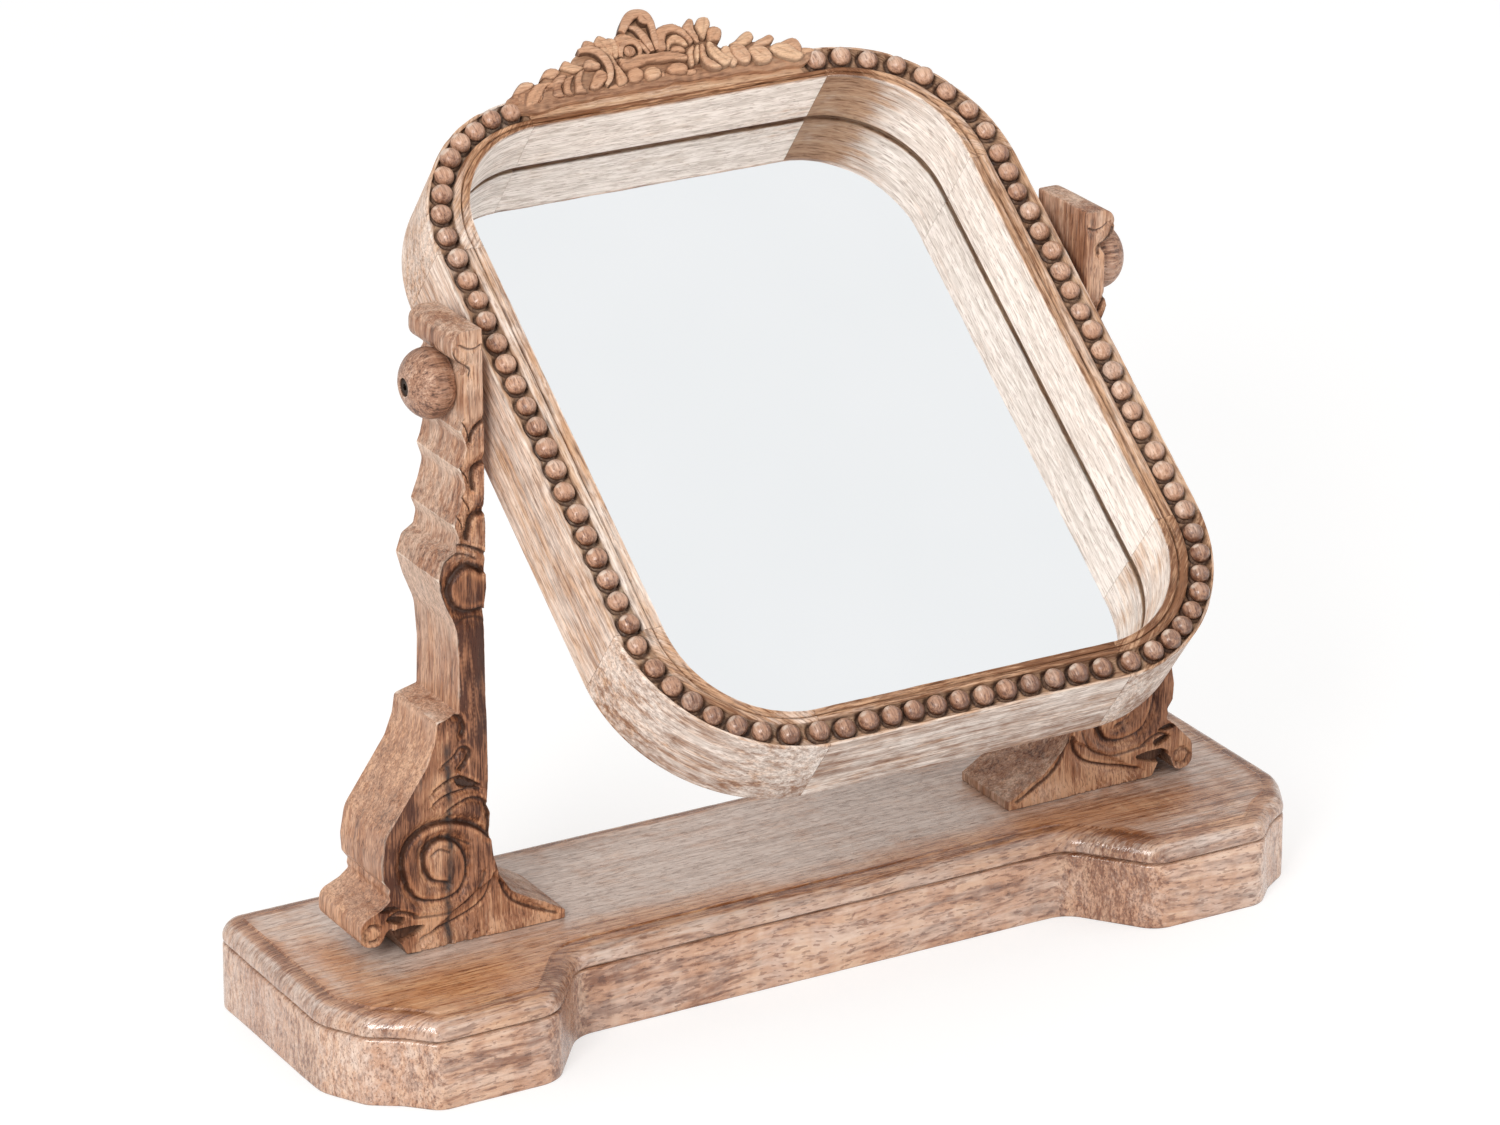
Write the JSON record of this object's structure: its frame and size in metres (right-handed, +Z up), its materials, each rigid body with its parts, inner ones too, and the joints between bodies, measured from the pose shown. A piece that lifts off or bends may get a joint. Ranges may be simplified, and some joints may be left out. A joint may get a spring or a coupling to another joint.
{
  "type": "tilting table mirror",
  "caption": "Tilting dressing-table mirror: moulded base, scroll-cut uprights and a deep rounded frame with a beaded border and carved crest, on knob screws.",
  "frame": {"origin": "on the table under the base, midway between the uprights, in the plane of the pivots", "axes": "+Z is up, -Y is the front, +X is the right as seen from the front"},
  "size_m": [0.599, 0.3626, 0.4951],
  "materials": {
    "base_wood": "hardwood, grey limewash worn back to brown, matt",
    "post_wood": "hardwood, thin limewash, matt",
    "frame_wood": "hardwood, limewash, heaviest on the inner walls, matt",
    "crest_wood": "carved hardwood, thin limewash, matt",
    "knob_wood": "turned hardwood, thin limewash, matt",
    "dowel_wood": "plain hardwood",
    "panel_board": "thin board, plain",
    "mirror_plate": "silvered glass, clear",
    "steel": "zinc plated",
    "brass": "plain"
  },
  "bodies": {
    "stand": {"base_plinth": "base_wood", "base_top": "base_wood", "base_screws": "steel", "left_upright": "post_wood", "right_upright": "post_wood", "left_upright_screws": "steel", "right_upright_screws": "steel", "left_upright_dowels": "dowel_wood", "right_upright_dowels": "dowel_wood", "left_spacer": "steel", "right_spacer": "steel"},
    "tilting_mirror": {"frame_left_rail": "frame_wood", "frame_right_rail": "frame_wood", "frame_top_rail": "frame_wood", "frame_bottom_rail": "frame_wood", "frame_corner_top_left": "frame_wood", "frame_corner_top_right": "frame_wood", "frame_corner_bottom_left": "frame_wood", "frame_corner_bottom_right": "frame_wood", "crest": "crest_wood", "mirror_glass": "mirror_plate", "back_panel": "panel_board", "frame_dowels": "dowel_wood", "back_panel_screws": "steel", "crest_pins": "steel", "left_frame_insert": "brass", "right_frame_insert": "brass"},
    "left_clamp": {"left_knob": "knob_wood", "left_pivot_screw": "steel"},
    "right_clamp": {"right_knob": "knob_wood", "right_pivot_screw": "steel"}
  },
  "joints": [
    {"name": "mirror_tilt", "type": "hinge", "parent": "stand", "child": "tilting_mirror", "pos_m": [0, 0, 0.35821], "axis": [1, 0, 0], "continuous": true},
    {"name": "left_clamp_turn", "type": "hinge", "parent": "stand", "child": "left_clamp", "pos_m": [-0.202, 0, 0.35821], "axis": [-1, 0, 0], "range_deg": [0, 360]},
    {"name": "right_clamp_turn", "type": "hinge", "parent": "stand", "child": "right_clamp", "pos_m": [0.202, 0, 0.35821], "axis": [1, 0, 0], "range_deg": [0, 360]}
  ]
}
